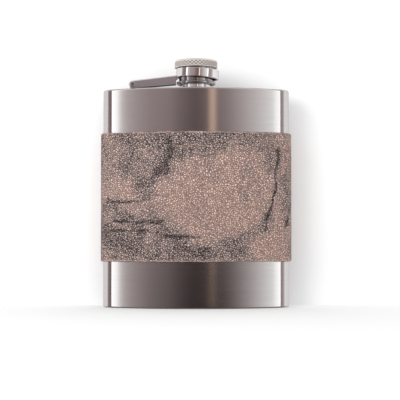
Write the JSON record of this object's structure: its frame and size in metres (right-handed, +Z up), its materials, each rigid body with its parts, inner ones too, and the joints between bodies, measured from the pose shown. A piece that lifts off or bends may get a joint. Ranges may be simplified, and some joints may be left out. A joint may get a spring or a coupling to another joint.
{
  "type": "hip flask",
  "caption": "Curved brushed-steel hip flask with a stitched leather band and a knurled screw cap held by a hinged arm.",
  "frame": {"origin": "centre of the base, on the surface that the flask stands on", "axes": "+Z up along the flask's height, the convex front looks along -Y, the cap's arm is hinged on the -X side"},
  "size_m": [0.0976, 0.0275, 0.1248],
  "materials": {
    "brushed_steel": "fine level brushing, satin",
    "plate_steel": "satin, soft rounded rim",
    "turned_steel": "turned, semi-bright",
    "arm_steel": "stamped and tumbled, satin",
    "polished_steel": "polished bright",
    "knurled_steel": "diamond knurl, satin",
    "leather": "dusty rose-tan grain with dark rubbed patches and creases",
    "thread": "waxed thread",
    "silicone": "translucent white silicone, matt"
  },
  "bodies": {
    "flask": {"body_shell": "brushed_steel", "top_plate": "plate_steel", "bottom_plate": "plate_steel", "neck": "turned_steel", "hinge_bracket": "turned_steel", "leather_wrap": "leather", "seam_thread": "thread"},
    "arm": {"hinge_arm": "arm_steel", "arm_collar": "polished_steel", "hinge_pin": "polished_steel"},
    "seal": {"cap_gasket": "silicone"},
    "cap": {"cap_insert": "turned_steel", "cap_head": "knurled_steel"}
  },
  "joints": [
    {"name": "arm_swing", "type": "hinge", "parent": "flask", "child": "arm", "pos_m": [-0.032, -0.00287, 0.1128], "axis": [0, -1, 0], "range_deg": [0, 165]},
    {"name": "cap_lift", "type": "slide", "parent": "arm", "child": "seal", "axis": [0, 0, 1], "range_m": [0, 0.00125]},
    {"name": "cap_turn", "type": "hinge", "parent": "seal", "child": "cap", "pos_m": [0, -0.00287, 0.1199], "axis": [0, 0, 1], "range_deg": [0, 450]}
  ],
  "couplings": [
    {"joint": "cap_lift", "follows": "cap_turn", "m_per_rad": 0.00015915}
  ]
}
